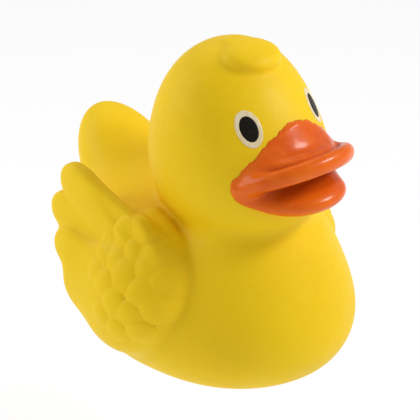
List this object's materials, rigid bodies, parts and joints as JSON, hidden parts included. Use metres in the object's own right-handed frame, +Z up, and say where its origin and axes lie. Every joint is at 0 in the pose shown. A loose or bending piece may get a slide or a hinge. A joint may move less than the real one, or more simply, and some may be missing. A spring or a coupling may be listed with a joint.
{
  "type": "floating chlorine dispenser",
  "caption": "Duck-shaped float with a screw-in tablet cartridge in its belly, an adjustable flow dial and a tether ring.",
  "frame": {"origin": "on the axis of the cartridge, in the plane of the well's rim that the dispenser rests on; this is also the middle of the base of the whole object's box", "axes": "+Z up along the cartridge's axis, -Y the way the duck faces, +X to the duck's left"},
  "size_m": [0.215, 0.2507, 0.2484],
  "materials": {
    "yellow_vinyl": "satin",
    "orange_paint": "gloss",
    "cream_paint": "satin",
    "black_paint": "satin",
    "white_plastic": "satin",
    "blue_plastic": "satin",
    "orange_plastic": "satin",
    "grey_rubber": "matte",
    "clear_tube": "gloss",
    "stainless": "satin",
    "coated_iron": "matte",
    "chlorine": "chalky"
  },
  "bodies": {
    "float": {"duck_shell": "yellow_vinyl", "bill": "orange_paint", "left_eye_ring": "cream_paint", "right_eye_ring": "cream_paint", "left_pupil": "black_paint", "right_pupil": "black_paint", "dry_well": "white_plastic", "well_gasket": "grey_rubber", "clamp_ring": "white_plastic", "flange_screws": "stainless", "ballast_segments": "coated_iron", "ballast_screws": "stainless", "vent_tube": "clear_tube", "vent_grommet": "grey_rubber", "tether_bracket": "stainless", "bracket_screws": "stainless", "tether_pin": "stainless", "pin_clip": "stainless"},
    "seal": {"cap_gasket": "grey_rubber"},
    "cartridge": {"threaded_cap": "blue_plastic", "tablet_basket": "white_plastic", "basket_screws": "stainless", "dial_washer": "stainless", "dial_pivot": "stainless", "pivot_nut": "stainless", "tablets": "chlorine"},
    "dial": {"flow_dial": "orange_plastic"},
    "tether": {"tether_ring": "stainless"}
  },
  "joints": [
    {"name": "cap_travel", "type": "slide", "parent": "float", "child": "seal", "axis": [0, 0, 1], "range_m": [-0.09, 0]},
    {"name": "cap_turn", "type": "hinge", "parent": "seal", "child": "cartridge", "pos_m": [0, 0, 0.012], "axis": [0, 0, 1], "range_deg": [-1350, 0]},
    {"name": "dial_turn", "type": "hinge", "parent": "cartridge", "child": "dial", "pos_m": [0, 0, 0.005], "axis": [0, 0, 1], "range_deg": [0, 30]},
    {"name": "tether_swing", "type": "hinge", "parent": "float", "child": "tether", "pos_m": [0, 0.1136, 0.048], "axis": [1, 0, 0], "range_deg": [0, 150]}
  ],
  "couplings": [
    {"joint": "cap_travel", "follows": "cap_turn", "m_per_rad": 0.0038197}
  ]
}
